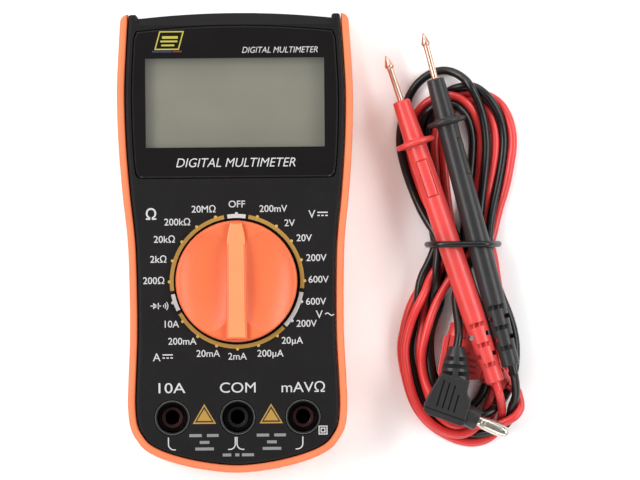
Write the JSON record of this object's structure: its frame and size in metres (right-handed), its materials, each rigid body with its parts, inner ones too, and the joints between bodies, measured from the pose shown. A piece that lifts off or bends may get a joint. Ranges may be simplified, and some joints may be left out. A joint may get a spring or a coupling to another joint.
{
  "type": "digital multimeter",
  "caption": "Pocket digital multimeter with an LCD, a rotary range knob, input jacks, a side bumper, a tilt stand and two tied test leads.",
  "frame": {"origin": "middle of the meter, on the surface that it lies on", "axes": "+X to the right of the meter, +Y towards its display end, +Z out of its face"},
  "size_m": [0.1178, 0.134, 0.032],
  "materials": {
    "black_plastic": "fine moulded texture, satin",
    "orange_plastic": "fine moulded texture, satin",
    "red_plastic": "smooth moulded, semi-gloss",
    "white_plastic": "plain moulded",
    "window": "clear window plate with a black printed border, polished",
    "lcd": "grey-green liquid crystal panel, polished",
    "zebra": "striped elastomer connector",
    "board": "green solder mask",
    "battery_case": "painted can",
    "black_rubber": "soft PVC, satin",
    "cord_pvc": "soft PVC, satin; the leads are one red and one black",
    "fuse_glass": "glass tube with plated caps",
    "steel": "zinc plated",
    "copper": "bare resistance wire",
    "brass": "bare",
    "plated_brass": "turned, thin plating",
    "nickel": "nickel plated"
  },
  "bodies": {
    "case": {"front_cover": "black_plastic", "rear_cover": "black_plastic", "bumper": "orange_plastic", "display_lens": "window", "lcd_glass": "lcd", "lcd_frame": "white_plastic", "zebra_strip": "zebra", "circuit_board": "board", "battery": "battery_case", "battery_snap": "black_rubber", "buzzer": "black_plastic", "chip_cover": "black_plastic", "shunt_wire": "copper", "case_screw_1": "steel", "case_screw_2": "steel", "case_screw_3": "steel", "case_screw_4": "steel", "board_screw_1": "steel", "fuse_1": "fuse_glass", "board_screw_2": "steel", "fuse_2": "fuse_glass", "fuse_clip_1_left": "brass", "fuse_clip_1_right": "brass", "fuse_clip_2_left": "brass", "fuse_clip_2_right": "brass", "jack_liner_10a": "red_plastic", "jack_liner_volt_ohm": "red_plastic", "jack_liner_com": "black_plastic", "jack_socket_10a": "brass", "jack_socket_com": "brass", "jack_socket_volt_ohm": "brass", "battery_wire_red": "red_plastic", "battery_wire_black": "black_rubber"},
    "selector": {"selector_knob": "orange_plastic", "switch_rotor": "white_plastic", "contact_spring_1": "brass", "contact_spring_2": "brass", "contact_spring_3": "brass", "detent_spring_left": "steel", "detent_spring_right": "steel"},
    "left_ball": {"detent_ball_left": "steel"},
    "right_ball": {"detent_ball_right": "steel"},
    "stand": {"tilt_stand": "black_plastic"},
    "door": {"battery_door": "black_plastic", "battery_door_screw": "steel"},
    "leads": {"lead_hank": "cord_pvc", "lead_tie": "black_rubber", "red_probe_handle": "red_plastic", "red_plug_body": "red_plastic", "red_probe_tip": "plated_brass", "red_plug_pin": "nickel", "red_probe_cord": "cord_pvc", "black_probe_handle": "black_plastic", "black_plug_body": "black_plastic", "black_probe_tip": "plated_brass", "black_plug_pin": "nickel", "black_probe_cord": "black_rubber", "black_plug_cord": "black_rubber"}
  },
  "joints": [
    {"name": "selector_turn", "type": "hinge", "parent": "case", "child": "selector", "pos_m": [0, -0.0112, 0.025], "axis": [0, 0, 1], "continuous": true},
    {"name": "left_ball_travel", "type": "slide", "parent": "selector", "child": "left_ball", "axis": [0, 0, -1], "range_m": [0, 0.0006], "stiffness_N_per_m": 500, "deforming": ["detent_spring_left"]},
    {"name": "right_ball_travel", "type": "slide", "parent": "selector", "child": "right_ball", "axis": [0, 0, -1], "range_m": [0, 0.0006], "stiffness_N_per_m": 500, "deforming": ["detent_spring_right"]},
    {"name": "stand_fold", "type": "hinge", "parent": "case", "child": "stand", "pos_m": [0, 0.002, 0.0016], "axis": [1, 0, 0], "range_deg": [0, 75]},
    {"name": "door_lift", "type": "slide", "parent": "case", "child": "door", "axis": [0, 0, -1], "range_m": [0, 0.03]},
    {"name": "leads_lift", "type": "slide", "parent": "case", "child": "leads", "axis": [0, 0, 1], "range_m": [0, 0.06]}
  ]
}
